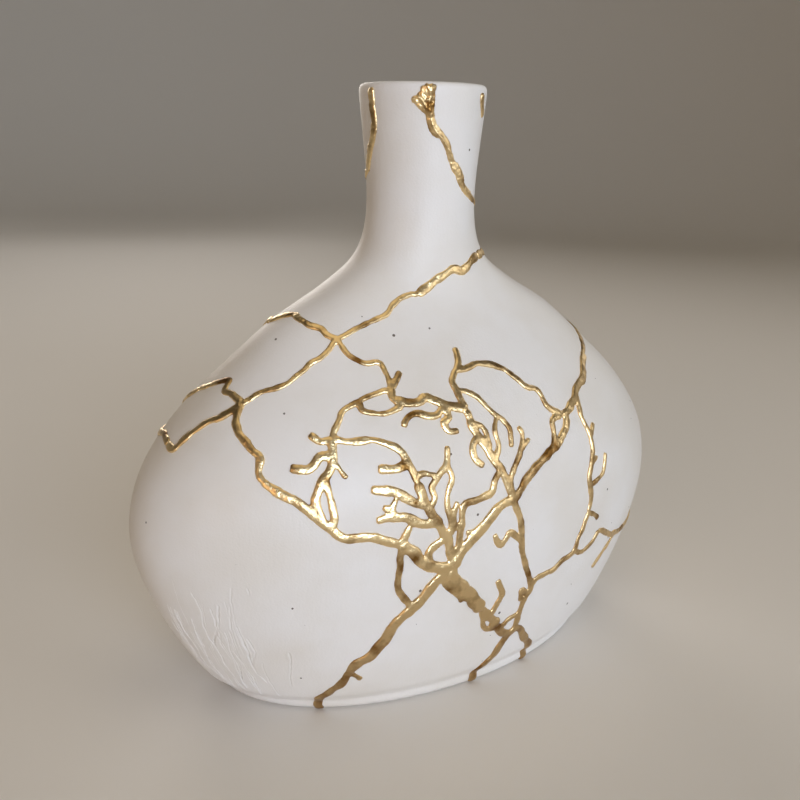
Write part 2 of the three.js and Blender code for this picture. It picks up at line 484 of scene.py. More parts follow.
@dataclass
class VaseBody:
    """The hollow ceramic body: one wall from the underside over the lip to the inner floor."""

    wall: Wall
    sides: int = 48
    cage_swell: float = 1.0028
    foot_rings: tuple[float, ...] = (0.0, 0.3, 1.0, 2.0, 2.9, 3.8, 4.8, 6.0, 7.5, 9.5, 12.0)
    belly_start: float = 17.0
    belly_step: float = 8.2
    belly_rings: int = 15
    neck_rings: tuple[float, ...] = (138, 142, 145, 148, 151, 154, 157, 161, 167, 176, 187, 199, 209)
    lip_rings: Route = ((217.3, 0.0), (218.9, 0.35), (219.7, 1.1), (220.0, 2.0))
    inner_rings: tuple[float, ...] = (206, 185, 170, 159, 151, 143, 130, 110, 80, 45, 22)
    floor_rings: Route = ((13.0, 0.4), (9.0, 3.0), (6.6, 7.5), (6.0, 13.0))
    uneven: float = 0.22
    uneven_mm: float = 45.0
    uneven_from: float = 20.0
    wrinkle_depth: float = 0.6
    wrinkle_width: float = 0.2
    wrinkle_band: tuple[float, float, float, float] = (-83.5, -45.0, 8.5, 60.0)
    # Sideways bends of the wrinkles: how far, and the size that they repeat in.
    wrinkle_bends: Route = ((0.9, 7.0), (0.4, 2.2))
    fade_mm: float = 9.0
    lip_gap: float = 0.46
    lip_width: float = 0.24
    lip_share: float = 0.26
    # Millimetres along the wall in a degree round and in a millimetre of height.
    along_wall: tuple[float, float] = (1.25, 1.12)
    band_cuts: int = 3
    fan_wrinkles: int = 30
    fan_start: float = -54.0
    fan_width: float = 28.0
    # Middle and spread of the fan's upper ends and lengths.
    fan_top: tuple[float, float] = (42.0, 34.0)
    fan_length: tuple[float, float] = (19.0, 26.0)
    # Wrinkles of the dried slip, low on the left: degrees round and height of each bend.
    wrinkles: tuple[Route, ...] = (
        ((-69.5, 44), (-71, 37.5), (-72, 28.5), (-73.5, 21.5), (-72, 14)),
        ((-66.5, 56), (-65, 49), (-67, 37.5), (-66, 33), (-66.5, 24), (-67, 17.5)),
        ((-62, 50.5), (-62.5, 41.5), (-66, 34.5)),
        ((-60, 52), (-62, 42)),
        ((-60.5, 40.5), (-62.5, 29), (-62.5, 22), (-65, 14.5)),
        ((-56.5, 43.5), (-57, 33), (-57.5, 22), (-56, 17)),
        ((-75.5, 46), (-76, 36), (-75, 32)),
        ((-80, 24), (-75.5, 18.5), (-70, 10)),
        ((-52, 61), (-51.5, 58)),
        ((-46.5, 32.5), (-49.5, 16)),
        ((-57, 51), (-58.5, 42.5)),
    )

    def rings(self) -> list[tuple[float, float, float]]:
        """Lists the rings of the wall, from the underside to the inner floor.

        Returns:
            Height, half width and half depth of each ring, in millimetres.
        """
        wall = self.wall
        wide, deep = wall.half_sizes(0.0, wall.cut_back(0.0))
        rows = [(0.0, wide * k, deep * k) for k in (0.2, 0.45, 0.7, 0.9, 0.985)]
        for z in self.foot_rings:
            rows.append((z, *wall.half_sizes(z, wall.cut_back(z))))
        belly = [self.belly_start + self.belly_step * k for k in range(self.belly_rings)]
        for z in (*belly, *self.neck_rings):
            rows.append((z, *wall.half_sizes(z)))
        for z, inset in self.lip_rings:
            rows.append((z, *wall.half_sizes(z, inset)))
        for z, inset in reversed(self.lip_rings):
            rows.append((z, *wall.half_sizes(z, wall.thickness - inset)))
        for z in self.inner_rings:
            rows.append((z, *wall.half_sizes(z, wall.thickness)))
        for z, inset in self.floor_rings:
            rows.append((z, *wall.half_sizes(z, wall.thickness + inset)))
        wide, deep = wall.half_sizes(wall.floor, wall.thickness + self.floor_rings[-1][1])
        rows += [(wall.floor, wide * k, deep * k) for k in (0.7, 0.4, 0.18)]
        return rows

    def build(self) -> bpy.types.Object:
        """Draws the wall up ring by ring, smooths it and adds the relief of the slip.

        Returns:
            The finished body.
        """
        rows = self.rings()
        bpy.ops.object.select_all(action="DESELECT")
        bpy.ops.mesh.primitive_circle_add(vertices=self.sides, radius=1.0, fill_type="NGON")
        body = bpy.context.active_object
        body.name = "white_vase_body"
        bpy.ops.object.mode_set(mode="EDIT")
        bpy.ops.mesh.select_all(action="SELECT")
        swell = self.cage_swell * MM
        old = (0.0, 1.0, 1.0)
        for k, (z, wide, deep) in enumerate(rows):
            new = (z * MM, wide * swell, deep * swell)
            rise = (0.0, 0.0, new[0] - old[0])
            if k:
                bpy.ops.mesh.extrude_region_move(TRANSFORM_OT_translate={"value": rise})
            bpy.ops.transform.resize(
                value=(new[1] / old[1], new[2] / old[2], 1.0), center_override=(0.0, 0.0, new[0])
            )
            old = new
        bpy.ops.mesh.select_all(action="SELECT")
        bpy.ops.mesh.remove_doubles(threshold=1e-6)
        bpy.ops.mesh.select_all(action="DESELECT")
        bpy.ops.mesh.select_non_manifold()
        bpy.ops.mesh.edge_face_add()
        bpy.ops.mesh.select_all(action="SELECT")
        bpy.ops.mesh.normals_make_consistent(inside=False)
        bpy.ops.object.mode_set(mode="OBJECT")
        finish_with(body, "SUBSURF", levels=2, render_levels=2)
        self._refine(body)
        self._raise_relief(body)
        select_only(body)
        bpy.ops.object.shade_smooth()
        return body

    def _refine(self, body: bpy.types.Object) -> None:
        """Splits the faces where the wrinkles run, so that they can be raised."""
        left, right, low, high = self.wrinkle_band
        select_only(body)
        bpy.ops.object.mode_set(mode="EDIT")
        bpy.ops.mesh.select_all(action="DESELECT")
        bpy.ops.object.mode_set(mode="OBJECT")
        for face in body.data.polygons:
            z = face.center.z / MM
            turn = self._turn(face.center)
            face.select = left < turn < right and low < z < high and self._outside(face.center)
        bpy.ops.object.mode_set(mode="EDIT")
        bpy.ops.mesh.select_mode(type="FACE")
        bpy.ops.mesh.subdivide(number_cuts=self.band_cuts, smoothness=1.0)
        bpy.ops.object.mode_set(mode="OBJECT")
        places = body.data.vertices
        level = []
        for edge in body.data.edges:
            run = places[edge.vertices[0]].co - places[edge.vertices[1]].co
            if edge.select and abs(run.z) < 0.3 * run.length:
                level.append(edge.index)
        bpy.ops.object.mode_set(mode="EDIT")
        bpy.ops.mesh.select_mode(type="EDGE")
        bpy.ops.mesh.select_all(action="DESELECT")
        bpy.ops.object.mode_set(mode="OBJECT")
        for k in level:
            body.data.edges[k].select = True
        bpy.ops.object.mode_set(mode="EDIT")
        bpy.ops.mesh.subdivide(number_cuts=self.band_cuts, smoothness=1.0)
        bpy.ops.object.mode_set(mode="OBJECT")

    def _turn(self, at: Vector) -> float:
        """Gives the degrees round from the middle of the front of a point near the wall."""
        wide, deep = self.wall.half_sizes(at.z / MM)
        return math.degrees(math.atan2(at.x / wide, -at.y / deep))

    def _outside(self, at: Vector) -> bool:
        """Tells whether a point lies on the outside of the wall."""
        wide, deep = self.wall.half_sizes(at.z / MM)
        return math.hypot(at.x / MM / wide, at.y / MM / deep) > 1 - 2.0 / deep

    def _raise_relief(self, body: bpy.types.Object) -> None:
        """Moves the outside in and out: slightly uneven all over, wrinkled low on the left."""
        left, right, low, high = self.wrinkle_band
        (coarse, coarse_mm), (fine, fine_mm) = self.wrinkle_bends
        lifts: dict[int, float] = {}
        wrinkled: list[tuple[int, float, float, float, float]] = []
        for vertex in body.data.vertices:
            at = vertex.co
            z = at.z / MM
            if z < 0.5 or not self._outside(at):
                continue
            wave = self.uneven * noise.noise(at * per_mm(self.uneven_mm))
            lifts[vertex.index] = wave * min(z / self.uneven_from, 1.0)
            turn = self._turn(at)
            if left < turn < right and low < z < high:
                wander = coarse * noise.noise(at * per_mm(coarse_mm))
                wander += fine * noise.noise(at * per_mm(fine_mm))
                strength = 0.65 + 0.8 * noise.noise(at * per_mm(self.fade_mm))
                wrinkled.append((vertex.index, turn, z, wander, strength))
        rows = np.array(wrinkled)
        depth = self._wrinkle(rows[:, 1], rows[:, 2], rows[:, 3]) * np.clip(rows[:, 4], 0.2, 1.0)
        for k, deep in zip(rows[:, 0].astype(int), depth):
            lifts[int(k)] += float(deep)
        normals = {k: body.data.vertices[k].normal.copy() for k in lifts}
        for k, lift in lifts.items():
            body.data.vertices[k].co += normals[k] * (lift * MM)
        body.data.update()

    def _fan(self) -> list[tuple[float, Route]]:
        """Lists every wrinkle: the deep ones and a fan of shallow ones between them.

        Returns:
            Share of the full depth and route of each.
        """
        found: list[tuple[float, Route]] = [(1.0, line) for line in self.wrinkles]
        for k in range(self.fan_wrinkles):
            chance = noise.noise(Vector((7.3 * k, 2.1, 0.4)))
            other = noise.noise(Vector((3.9 * k, 8.2, 5.7)))
            bend = noise.noise(Vector((5.3 * k, 4.4, 1.9)))
            turn = self.fan_start - self.fan_width * (k + chance) / self.fan_wrinkles
            top = self.fan_top[0] + self.fan_top[1] * other
            length = self.fan_length[0] + self.fan_length[1] * chance
            half_way = (turn - 0.6 + 3.0 * bend, top - length / 2)
            line = ((turn, top), half_way, (turn - 1.4, top - length))
            found.append((0.18 + 0.8 * abs(bend), line))
        return found

    def _wrinkle(self, turn: np.ndarray, height: np.ndarray, wander: np.ndarray) -> np.ndarray:
        """Gives the depth of the wrinkles at many places.

        Args:
            turn: degrees round of each place.
            height: millimetres above the foot of each place.
            wander: sideways shift of the lines at each place.

        Returns:
            Millimetres out of the wall: creases with low lips at their sides.
        """
        scale = np.array(self.along_wall)
        spots = np.stack([turn, height], 1) * scale + np.stack([wander, 0 * wander], 1)
        crease = np.zeros(len(spots))
        lip = np.zeros(len(spots))
        for share, route in self._fan():
            line = np.array(route) * scale
            near = np.full(len(spots), 99.0)
            for start, end in zip(line[:-1], line[1:]):
                run = end - start
                along = np.clip((spots - start) @ run / (run @ run), 0.0, 1.0)
                gap = spots - start - along[:, None] * run
                near = np.minimum(near, np.hypot(gap[:, 0], gap[:, 1]))
            crease = np.maximum(crease, share * np.exp(-((near / self.wrinkle_width) ** 2)))
            off_lip = (near - self.lip_gap) / self.lip_width
            lip = np.maximum(lip, share * np.exp(-(off_lip ** 2)))
        return self.wrinkle_depth * (self.lip_share * lip * (1 - crease) - crease)

    def dress(self, body: bpy.types.Object) -> None:
        """Gives the body its slip and its place in the frame."""
        body.data.materials.clear()
        body.data.materials.append(WhiteCeramic().make())
        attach(body, "root")
        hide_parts("vase_body")


class Bead(Enum):
    """Width and height of the gold beads, in millimetres."""

    RIDGE = (1.1, 1.0)
    HAIR = (1.8, 0.45)
    FINE = (2.3, 0.52)
    MEDIUM = (2.8, 0.58)
    MAIN = (3.5, 0.66)
    BROAD = (4.4, 0.9)
    WIDE = (5.6, 1.1)


Seams = tuple[tuple[Bead, Route], ...]


@dataclass
class GoldSeams:
    """A network of gold beads that run on the wall and flow into each other."""

    name: str
    node: str
    wall: Wall
    seams: Seams
    voxel: float = 0.36
    step: float = 0.8
    wander: float = 0.42
    wander_mm: float = 4.5
    swell: float = 0.27
    swell_mm: float = 4.2
    lump: float = 0.34
    lump_mm: float = 2.4
    smoothing: int = 3
    dome_points: int = 11
    dome_power: float = 3.6
    ridge: float = 0.09
    ridge_waves: float = 7.0
    sway: float = 4.0
    sway_mm: float = 12.0
    tip_share: float = 0.8
    tip_reach: float = 0.2
    ease_mm: float = 3.0
    sunk: float = 0.7
    kept_faces: float = 0.5
    first_seed: float = 3.7
    seed_step: float = 11.3

    def _line(self, route: Route) -> list[tuple[float, float]]:
        """Draws a smooth line through a route's points.

        Args:
            route: degrees round and height of each point.

        Returns:
            Points on the line, a short step apart.
        """
        points = np.array(route, float)
        ends = np.vstack([2 * points[0] - points[1], points, 2 * points[-1] - points[-2]])
        line = []
        for k in range(len(points) - 1):
            p0, p1, p2, p3 = ends[k:k + 4]
            gap = self.wall.spot(*p2)[0] - self.wall.spot(*p1)[0]
            count = max(int(gap.length / MM / self.step), 2)
            for t in np.arange(count) / count:
                bend = (2 * p0 - 5 * p1 + 4 * p2 - p3) * t * t + (3 * p1 - p0 - 3 * p2 + p3) * t ** 3
                line.append(tuple(p1 + 0.5 * ((p2 - p0) * t + bend)))
        line.append(tuple(points[-1]))
        return line

    def _section(self, half: float, tall: float, sway: float) -> list[tuple[float, float]]:
        """Draws a bead's section: a low dome with brush ridges, its foot sunk in the wall.

        Args:
            half: half its width in millimetres.
            tall: its height in millimetres.
            sway: where its ridges stand.

        Returns:
            Places across and up from the wall, in millimetres, once round.
        """
        dome = []
        for across in np.linspace(-1.0, 1.0, self.dome_points):
            high = tall * math.sqrt(max(1 - abs(across) ** self.dome_power, 0.0))
            ridge = 1 + self.ridge * math.cos(self.ridge_waves * across + sway)
            dome.append((across * half, high * ridge))
        return dome + [(0.8 * half, -self.sunk), (-0.8 * half, -self.sunk)]

    def _lay(self, bead: Bead, route: Route, seed: float) -> list[list[Vector]]:
        """Lays one bead along its route.

        Args:
            bead: its width and height.
            route: degrees round and height of each point.
            seed: where its wander starts in the noise.

        Returns:
            The bead's sections, one ring of places after another, in metres.
        """
        wide, tall = bead.value
        half = wide / 2
        spots = [self.wall.spot(turn, z) for turn, z in self._line(route)]
        last = len(spots) - 1
        walked = np.zeros(last + 1)
        for k in range(1, last + 1):
            walked[k] = walked[k - 1] + (spots[k][0] - spots[k - 1][0]).length / MM
        rings = []
        for k, (at, out) in enumerate(spots):
            along = spots[min(k + 1, last)][0] - spots[max(k - 1, 0)][0]
            side = along.cross(out).normalized()
            drift = noise.noise(Vector((walked[k] / self.wander_mm, seed, 0.0)))
            grow = 1 + self.swell * noise.noise(Vector((walked[k] / self.swell_mm, seed, 5.0)))
            sway = self.sway * noise.noise(Vector((walked[k] / self.sway_mm, seed, 9.0)))
            to_tip = min(walked[k], walked[last] - walked[k]) + self.tip_reach * half
            tip = math.sqrt(1 - self.tip_share * (1 - min(to_tip / half, 1.0)) ** 2)
            ease = min(to_tip / self.ease_mm, 1.0)
            middle = at + side * (drift * self.wander * ease * MM)
            section = self._section(half * grow * tip, tall * (0.5 + 0.5 * grow) * tip, sway)
            rings.append([middle + side * (across * MM) + out * (up * MM) for across, up in section])
        return rings

    def build(self) -> bpy.types.Object:
        """Lays every bead, melts them into one skin and roughens it a little.

        Returns:
            The finished network.
        """
        places: list[Vector] = []
        faces: list[list[int]] = []
        for k, (bead, route) in enumerate(self.seams):
            rings = self._lay(bead, route, self.first_seed + self.seed_step * k)
            first, round_ = len(places), len(rings[0])
            for ring in rings:
                places += ring
            for row in range(len(rings) - 1):
                a, b = first + row * round_, first + (row + 1) * round_
                for i in range(round_):
                    after = (i + 1) % round_
                    faces.append([a + i, a + after, b + after, b + i])
            faces.append(list(range(first, first + round_)))
            faces.append(list(range(len(places) - round_, len(places))))
        mesh = bpy.data.meshes.new(self.name)
        mesh.from_pydata([tuple(place) for place in places], [], faces)
        piece = bpy.data.objects.new(self.name, mesh)
        bpy.context.scene.collection.objects.link(piece)
        select_only(piece)
        bpy.ops.object.mode_set(mode="EDIT")
        bpy.ops.mesh.select_all(action="SELECT")
        bpy.ops.mesh.normals_make_consistent(inside=False)
        bpy.ops.object.mode_set(mode="OBJECT")
        finish_with(piece, "REMESH", mode="VOXEL", voxel_size=self.voxel * MM)
        finish_with(piece, "SMOOTH", factor=0.5, iterations=self.smoothing)
        lumps = bpy.data.textures.new(self.name + "_lumps", "CLOUDS")
        lumps.noise_scale = self.lump_mm * MM
        lumps.noise_depth = 1
        finish_with(piece, "DISPLACE", texture=lumps, strength=self.lump * MM, mid_level=0.5)
        finish_with(piece, "DECIMATE", ratio=self.kept_faces)
        select_only(piece)
        bpy.ops.object.shade_smooth()
        return piece

    def dress(self, piece: bpy.types.Object, gold: bpy.types.Material) -> None:
        """Gives the network its gold and its place in the frame.

        Args:
            piece: the network.
            gold: the gold lacquer.
        """
        piece.data.materials.clear()
        piece.data.materials.append(gold)
        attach(piece, "root")
        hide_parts(self.node)


# Seam routes: degrees round from the middle of the front, to the right, and height in millimetres.
NECK_SEAMS: Seams = (
    (Bead.FINE, ((-43, 214.5), (-38, 213), (-31, 210))),
    (Bead.MEDIUM, ((-37, 216.5), (-33.5, 213.5), (-29, 209.5))),
    (Bead.MAIN, ((-33, 218.6), (-31, 215), (-28.5, 210))),
    (Bead.MEDIUM, ((-29, 219), (-29, 215), (-28, 209))),
    (Bead.MEDIUM, ((-25.5, 219), (-26.5, 215), (-27, 208))),
    (Bead.RIDGE, ((-43, 214.5), (-36, 214.5), (-29, 210.5))),
    (Bead.RIDGE, ((-36, 216.5), (-31, 214), (-26.5, 216))),
    (Bead.RIDGE, ((-31, 219), (-28, 215), (-29.5, 209))),
    (Bead.RIDGE, ((-26.5, 219), (-28.5, 213.5), (-26, 207.5))),
    (
        Bead.MEDIUM,
        ((-28.5, 212), (-26, 206.5), (-22, 204), (-17, 202.5), (-11, 200), (-7.5, 197), (-3, 193.5)),
    ),
    (
        Bead.MEDIUM,
        ((-4, 194.2), (-0.5, 192), (4, 190.5), (12, 186), (18, 184), (26, 182), (40, 180)),
    ),
    (Bead.MAIN, ((-28, 210), (-25, 205.7), (-21, 203.7), (-17, 202.5))),
    (Bead.RIDGE, ((-27, 208), (-22, 204.5), (-14, 201), (-8, 197.5), (-3, 194))),
    (Bead.MAIN, ((-2, 193), (4, 190.5), (8.5, 188.5), (12, 186))),
    (
        Bead.FINE,
        ((38, 180.2), (75, 177), (110, 178), (147, 183), (184, 185), (220, 186), (256, 190)),
    ),
    (Bead.MAIN, ((-85, 218), (-84.5, 212), (-84, 206), (-88, 201), (-96, 196), (-104, 190))),
)
NECK_TICK: Seams = (
    (Bead.MEDIUM, ((30, 217), (33, 213), (38, 209))),
)
SHOULDER_SEAMS: Seams = (
    (
        Bead.MAIN,
        ((34, 160), (21, 158), (13, 156), (8, 155), (3, 156), (-3, 155), (-12, 152), (-20, 148)),
    ),
    (Bead.FINE, ((-20, 148), (-25, 148), (-30, 146), (-32, 142), (-39, 139), (-46.5, 135))),
    (Bead.MEDIUM, ((-46.5, 135), (-51, 136), (-56, 138), (-64, 139), (-70, 140), (-82, 141.5))),
    (Bead.MEDIUM, ((-82, 141.5), (-93, 140), (-101, 138))),
    (
        Bead.FINE,
        ((-46.5, 135), (-49.5, 130), (-53, 128), (-55.5, 124), (-59.5, 121), (-64, 119.5), (-68, 116)),
    ),
    (Bead.FINE, ((-46.5, 135), (-39.5, 130), (-35, 128), (-31, 128), (-29, 126.5), (-26, 120))),
    (Bead.MEDIUM, ((-26, 120), (-25.5, 122), (-24, 125))),
)
LEFT_SEAMS: Seams = (
    (
        Bead.MEDIUM,
        ((-68, 116), (-70.5, 117), (-76, 118), (-80, 118.5), (-82, 121), (-86, 120.5), (-92, 118.5)),
    ),
    (Bead.MEDIUM, ((-92, 118.5), (-99, 116))),
    (Bead.MEDIUM, ((-68, 116), (-72, 112), (-76, 110), (-81, 104), (-83, 100.5), (-88, 101))),
    (
        Bead.MEDIUM,
        ((-68, 116), (-67, 113), (-63.5, 109), (-57, 104), (-54, 102), (-53, 98), (-51, 95)),
    ),
    (
        Bead.MAIN,
        (
            ((-51, 95), (-47, 92), (-41.5, 88), (-38.5, 84))
            + ((-36, 81), (-32.5, 76.5), (-28, 76), (-22, 72))
        ),
    ),
    (Bead.FINE, ((-26, 120), (-30, 119), (-36.5, 116), (-38, 112), (-38.5, 107))),
    (Bead.FINE, ((-34, 117), (-32.5, 114.5), (-27, 113.5), (-23, 115))),
    (Bead.MEDIUM, ((-38.5, 107), (-41, 106.5), (-44, 108.5))),
    (Bead.MAIN, ((-38.5, 107), (-37.5, 103), (-37, 100), (-38.5, 94), (-39, 89), (-37, 82))),
    (Bead.MEDIUM, ((-38, 96), (-36.5, 91), (-35, 84), (-35, 79.5))),
    (Bead.HAIR, ((-37, 101), (-35.5, 98.5), (-33.5, 95.5))),
    (Bead.MAIN, ((-37.5, 102), (-40, 102), (-42, 98.5), (-46, 99))),
)
CENTRE_SEAMS: Seams = (
    (
        Bead.MEDIUM,
        ((-38.5, 107), (-34, 106), (-29, 106), (-25, 104), (-22.5, 101), (-20.5, 96), (-19.5, 92)),
    ),
    (
        Bead.MAIN,
        ((-19.5, 92), (-18, 86), (-16.5, 81), (-15, 77), (-13, 71), (-12.5, 66), (-12, 60)),
    ),
    (Bead.MAIN, ((-21, 98.5), (-24, 97), (-27.5, 97.5))),
    (Bead.MAIN, ((-17.5, 84), (-20, 86), (-24, 90), (-28.5, 91.5))),
    (Bead.MAIN, ((-15, 78), (-18, 78), (-22, 81.5), (-27, 81.5))),
    (Bead.FINE, ((-24, 82), (-24, 85), (-23.5, 88))),
    (Bead.MEDIUM, ((-24, 84.5), (-26, 85.5))),
    (Bead.MEDIUM, ((-17, 83), (-16, 86), (-16.5, 90), (-15, 93.5), (-13.5, 96), (-13, 102))),
    (Bead.FINE, ((-20, 93.5), (-18, 94.5), (-15.5, 93.5))),
    (Bead.FINE, ((-13.5, 96), (-12.5, 92), (-13.5, 87), (-13.5, 83), (-12.5, 76), (-13, 72))),
    (Bead.FINE, ((-11.5, 84), (-12, 80), (-12, 75), (-13, 72))),
    (Bead.BROAD, ((-22, 72), (-19.5, 68.5), (-18, 64), (-15, 61.5), (-12, 60))),
    (Bead.MEDIUM, ((-22, 72), (-21.5, 74), (-20.5, 78))),
    (Bead.MAIN, ((-16.5, 63), (-16.5, 67.5), (-13.5, 72))),
    (Bead.MEDIUM, ((-22, 72), (-22, 65), (-22.5, 58), (-22, 53), (-20, 47))),
)
UPPER_RIGHT_SEAMS: Seams = (
    (
        Bead.MAIN,
        ((-26, 120), (-25.5, 117.5), (-22, 116), (-19, 116), (-17, 117), (-14, 115), (-7.5, 112)),
    ),
    (Bead.MEDIUM, ((-13, 114), (-15, 111.5), (-20, 112.5), (-22, 111), (-22.5, 109))),
    (Bead.MEDIUM, ((-13, 114), (-12, 110.5), (-13.5, 109), (-12.5, 106.5), (-10, 106))),
    (Bead.MEDIUM, ((-6, 130.5), (-6.5, 126), (-9.5, 121), (-9, 118), (-7.5, 112))),
    (Bead.MAIN, ((-7.5, 112), (-6.5, 106), (-4, 98), (-1, 88.5), (0.5, 80))),
    (
        Bead.MEDIUM,
        ((0.5, 80), (2.5, 70), (3, 61), (4.5, 53), (7, 42), (6, 38), (5.5, 31), (5.5, 24), (4, 22)),
    ),
    (
        Bead.MEDIUM,
        ((-8, 124), (-4, 124), (0.5, 125), (7, 122), (11, 116), (14, 114), (15, 108), (18.5, 104)),
    ),
    (Bead.MAIN, ((18.5, 104), (21, 105), (25, 108), (28.5, 111), (34, 113), (40, 117), (47, 120))),
    (Bead.MEDIUM, ((17.5, 104), (14.5, 103), (13.5, 99), (12.5, 95.5), (10.5, 93))),
    (Bead.MAIN, ((18.5, 104), (19, 102), (14.5, 96), (10.5, 93), (5, 88), (0.5, 80))),
    (Bead.FINE, ((-9, 118), (-4.5, 116), (-1, 110), (2, 104.5), (1.5, 98))),
    (Bead.FINE, ((-7, 108), (-4.5, 106), (-3.5, 101), (-4, 98))),
    (Bead.FINE, ((-0.5, 108), (-1.5, 104), (-1.5, 99), (-3, 94))),
    (Bead.FINE, ((4.5, 104), (5, 101), (3, 95), (0.5, 89), (0, 85))),
    (Bead.HAIR, ((6.5, 99.5), (5, 98), (3, 95))),
    (Bead.MEDIUM, ((-5.5, 103), (-7, 102), (-7.5, 99.5), (-7, 96), (-5.5, 94))),
)
RIGHT_SEAMS: Seams = (
    (
        Bead.MEDIUM,
        ((26.5, 109), (24.5, 102), (24.5, 92), (22.5, 84), (21.5, 79), (22, 72), (21.5, 65)),
    ),
    (Bead.MEDIUM, ((21.5, 65), (19.5, 56), (18.5, 50), (15.5, 48.5), (13, 46), (8.5, 45), (7, 42))),
    (Bead.FINE, ((27.5, 98), (25, 94))),
    (Bead.FINE, ((25, 86), (22.5, 84))),
    (Bead.FINE, ((28.5, 86), (27.5, 82), (26, 78), (22.5, 76))),
    (Bead.FINE, ((21.5, 65), (24.5, 62), (25.5, 60))),
    (Bead.FINE, ((18.5, 50), (22.5, 48), (25.5, 50.5), (27, 54))),
    (Bead.MEDIUM, ((27, 54), (30, 52), (34.5, 48), (42, 45))),
    (Bead.FINE, ((38, 46), (33, 40), (30, 36))),
)
LOWER_SEAMS: Seams = (
    (Bead.BROAD, ((0.5, 80), (-1, 80), (-3.5, 78), (-5.5, 74), (-9.5, 67), (-12, 60))),
    (
        Bead.BROAD,
        ((-12, 60), (-15, 56), (-18.5, 49), (-23, 42), (-25.5, 36), (-29, 29), (-32, 26), (-34.5, 22)),
    ),
    (Bead.MAIN, ((-34.5, 22), (-36.5, 17), (-40.5, 12), (-44.5, 8), (-46.5, 3.5), (-47, 0.6))),
    (Bead.FINE, ((-34.5, 22), (-32, 17.5))),
    (
        Bead.MEDIUM,
        ((-2, 92), (-3.5, 88), (-4.5, 84.5), (-7, 83.5), (-10, 82), (-10.5, 75), (-11, 68), (-12, 61)),
    ),
    (Bead.FINE, ((-7, 72), (-9.5, 72))),
    (Bead.MEDIUM, ((3, 63), (0, 68), (-1, 66), (-2, 64), (-3, 66.5), (-3.5, 69))),
    (Bead.FINE, ((6, 40), (4.5, 42), (5, 37))),
    (Bead.WIDE, ((-12, 60), (-12, 56), (-10.5, 52), (-7.5, 45.5))),
    (Bead.WIDE, ((-10.5, 50), (-8, 47.5), (-7, 44), (-5, 39.5))),
    (Bead.MEDIUM, ((-13.5, 57), (-13, 53), (-10.5, 48.5), (-9.5, 45))),
    (Bead.RIDGE, ((-12, 59), (-11.5, 54), (-9, 50), (-8, 46), (-5.5, 42), (-4.5, 38))),
    (Bead.RIDGE, ((-10, 54), (-9.5, 49), (-6, 45), (-6.5, 41))),
    (Bead.MAIN, ((-5, 39.5), (-3, 35), (-1, 31), (1, 26), (4, 22))),
    (Bead.WIDE, ((-1.5, 32), (-0.5, 29.5))),
    (Bead.MEDIUM, ((-2, 50), (-0.5, 44), (-1, 40), (-3, 34))),
    (Bead.FINE, ((-5, 38), (-4, 33), (-3, 29), (0, 28))),
    (Bead.FINE, ((1, 27), (3, 30), (5.5, 31))),
    (Bead.MAIN, ((4, 22), (3, 19), (1.5, 13), (-1, 8), (-2, 3.5), (-2.2, 0.6))),
    (Bead.MAIN, ((4, 22), (5.5, 23.5), (7.5, 22.5), (10.5, 16), (14, 10.5), (16, 4), (16.5, 0.6))),
)
BACK_SEAMS: Seams = (
    (
        Bead.MAIN,
        ((34, 160), (60, 160), (80, 158), (104, 153), (130, 146), (152, 134), (164, 119), (172, 104)),
    ),
    (Bead.MEDIUM, ((47, 120), (70, 126), (98, 128), (126, 122), (150, 112), (172, 104))),
    (Bead.MAIN, ((259, 138), (246, 137), (231, 130), (214, 121), (195, 112), (172, 104))),
    (Bead.MEDIUM, ((261, 116), (251, 111), (242, 106), (236, 98))),
    (Bead.MEDIUM, ((272, 101), (263, 102), (250, 99), (236, 98))),
    (Bead.MAIN, ((236, 98), (220, 88), (203, 80), (184, 76))),
    (Bead.MAIN, ((172, 104), (178, 90), (184, 76))),
    (Bead.MEDIUM, ((42, 45), (60, 44), (85, 49), (115, 54), (145, 62), (165, 70), (184, 76))),
    (Bead.MAIN, ((184, 76), (190, 61), (195, 45), (192, 28), (200, 13), (202, 4), (202.5, 0.6))),
    (Bead.FINE, ((115, 54), (121, 45), (119, 36))),
    (Bead.FINE, ((220, 88), (216, 92), (212, 97))),
)


@dataclass(frozen=True)
class Window:
    """One soft light that faces the vase.

    Its place is metres to the camera's right, towards the camera and up.
    """

    name: str
    place: tuple[float, float, float]
    size: tuple[float, float]
    watts: float
    hue: str
    spread: float = 80.0


